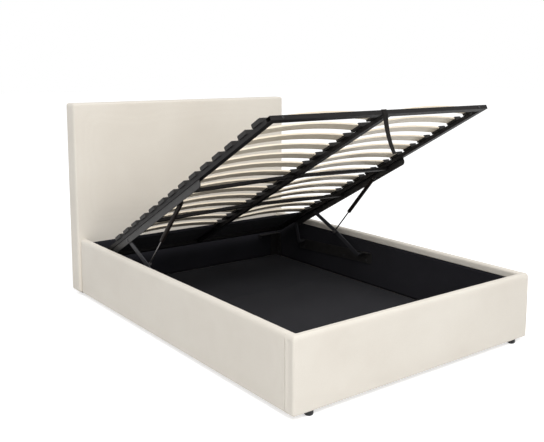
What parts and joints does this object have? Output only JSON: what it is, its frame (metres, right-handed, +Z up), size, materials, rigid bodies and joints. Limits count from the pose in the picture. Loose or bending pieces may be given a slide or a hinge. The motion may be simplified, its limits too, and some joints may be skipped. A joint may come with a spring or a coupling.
{
  "type": "ottoman storage bed",
  "caption": "Upholstered ottoman storage bed: a slatted platform lifts on side arms and gas struts over a cloth-lined storage box, with a thick plain headboard.",
  "frame": {"origin": "on the floor, under the middle of the whole bed", "axes": "+X across the bed, +Y from the foot end towards the headboard, +Z up"},
  "size_m": [1.46, 2.046, 1.1264],
  "materials": {
    "cover_fabric": "woven upholstery, cream, soft sheen",
    "back_cloth": "black spun cloth",
    "lining_cloth": "black spun cloth on card",
    "floor_board": "thin board covered in black cloth",
    "end_board_cover": "board covered in black cloth",
    "chipboard": "raw board",
    "pine": "planed softwood",
    "slat_birch": "bent plywood, clear foil face",
    "frame_steel": "satin black powder coat",
    "mechanism_steel": "satin black powder coat",
    "arm_steel": "satin dark grey powder coat",
    "fixing_steel": "black, slightly worn",
    "strut_black": "gloss black paint",
    "rod_chrome": "polished",
    "cap_plastic": "moulded, matt",
    "glide_plastic": "moulded, matt",
    "pad_rubber": "soft, matt",
    "strap_webbing": "woven black webbing"
  },
  "bodies": {
    "bed_base": {"headboard_frame": "pine", "headboard_front_board": "chipboard", "headboard_cover": "cover_fabric", "headboard_back_lining": "back_cloth", "headboard_bolts": "fixing_steel", "side_rail_board_left": "chipboard", "side_rail_board_right": "chipboard", "side_rail_cover_left": "cover_fabric", "side_rail_cover_right": "cover_fabric", "foot_panel_board": "chipboard", "foot_corner_blocks": "pine", "foot_panel_cover": "cover_fabric", "lining_left": "lining_cloth", "lining_right": "lining_cloth", "lining_foot": "lining_cloth", "lining_head": "lining_cloth", "base_floor_foot": "floor_board", "base_floor_middle": "floor_board", "base_floor_head": "floor_board", "floor_ledges": "pine", "floor_cross_rails": "frame_steel", "corner_glides": "glide_plastic", "centre_glides": "glide_plastic", "foot_corner_brackets": "mechanism_steel", "head_corner_brackets": "mechanism_steel", "bracket_bolts": "fixing_steel", "rest_brackets": "mechanism_steel", "rest_pads": "pad_rubber", "lower_plate_left": "mechanism_steel", "lower_plate_right": "mechanism_steel", "lower_plate_bolts": "fixing_steel", "lower_pivot_pins": "fixing_steel"},
    "platform": {"platform_rail_left": "frame_steel", "platform_rail_right": "frame_steel", "platform_rail_centre": "frame_steel", "platform_foot_rail": "frame_steel", "platform_head_rail": "frame_steel", "platform_end_board": "end_board_cover", "platform_cross_bars": "frame_steel", "platform_corner_angles": "frame_steel", "platform_frame_bolts": "fixing_steel", "slats_left": "slat_birch", "slats_right": "slat_birch", "slat_caps_left": "cap_plastic", "slat_caps_right": "cap_plastic", "slat_caps_centre": "cap_plastic", "upper_plate_left": "mechanism_steel", "upper_plate_right": "mechanism_steel", "upper_pivot_pins": "fixing_steel", "pull_strap": "strap_webbing"},
    "front_arm_left": {"front_arm_left": "arm_steel"},
    "rear_arm_left": {"rear_arm_left": "arm_steel"},
    "strut_cylinder_left": {"strut_cylinder_left": "strut_black"},
    "strut_rod_left": {"strut_rod_left": "rod_chrome"},
    "front_arm_right": {"front_arm_right": "arm_steel"},
    "rear_arm_right": {"rear_arm_right": "arm_steel"},
    "strut_cylinder_right": {"strut_cylinder_right": "strut_black"},
    "strut_rod_right": {"strut_rod_right": "rod_chrome"}
  },
  "joints": [
    {"name": "platform_lift", "type": "hinge", "parent": "bed_base", "child": "front_arm_left", "pos_m": [-0.6365, 0.081, 0.211], "axis": [1, 0, 0], "range_deg": [-22.21, 0], "stiffness_Nm_per_rad": 400, "springref_deg": 51.57},
    {"name": "platform_tilt", "type": "hinge", "parent": "front_arm_left", "child": "platform", "pos_m": [-0.6365, 0.46367, 0.40073], "axis": [1, 0, 0], "range_deg": [0, 50.73]},
    {"name": "front_arm_right_turn", "type": "hinge", "parent": "bed_base", "child": "front_arm_right", "pos_m": [0.6365, 0.081, 0.211], "axis": [1, 0, 0], "range_deg": [-22.23, 0]},
    {"name": "rear_arm_left_turn", "type": "hinge", "parent": "bed_base", "child": "rear_arm_left", "pos_m": [-0.6365, 0.6225, 0.1858], "axis": [1, 0, 0], "range_deg": [-45.06, 0]},
    {"name": "strut_left_turn", "type": "hinge", "parent": "platform", "child": "strut_cylinder_left", "pos_m": [-0.62, -0.06073, 0.67977], "axis": [1, 0, 0], "range_deg": [0, 19.2]},
    {"name": "strut_left_slide", "type": "slide", "parent": "strut_cylinder_left", "child": "strut_rod_left", "axis": [0, 0.6684, -0.7438], "range_m": [-0.1128, 0]},
    {"name": "rear_arm_right_turn", "type": "hinge", "parent": "bed_base", "child": "rear_arm_right", "pos_m": [0.6365, 0.6225, 0.1858], "axis": [1, 0, 0], "range_deg": [-45.06, 0]},
    {"name": "strut_right_turn", "type": "hinge", "parent": "platform", "child": "strut_cylinder_right", "pos_m": [0.62, -0.06073, 0.67977], "axis": [1, 0, 0], "range_deg": [0, 19.2]},
    {"name": "strut_right_slide", "type": "slide", "parent": "strut_cylinder_right", "child": "strut_rod_right", "axis": [0, 0.6684, -0.7438], "range_m": [-0.1128, 0]}
  ],
  "couplings": [
    {"joint": "platform_tilt", "follows": "platform_lift", "ratio": -2.2832},
    {"joint": "front_arm_right_turn", "follows": "platform_lift", "ratio": 1},
    {"joint": "rear_arm_left_turn", "follows": "platform_lift", "ratio": 2.0276},
    {"joint": "strut_left_turn", "follows": "platform_lift", "ratio": -0.86356},
    {"joint": "strut_left_slide", "follows": "platform_lift", "m_per_rad": 0.29047},
    {"joint": "rear_arm_right_turn", "follows": "platform_lift", "ratio": 2.0276},
    {"joint": "strut_right_turn", "follows": "platform_lift", "ratio": -0.86356},
    {"joint": "strut_right_slide", "follows": "platform_lift", "m_per_rad": 0.29047}
  ]
}
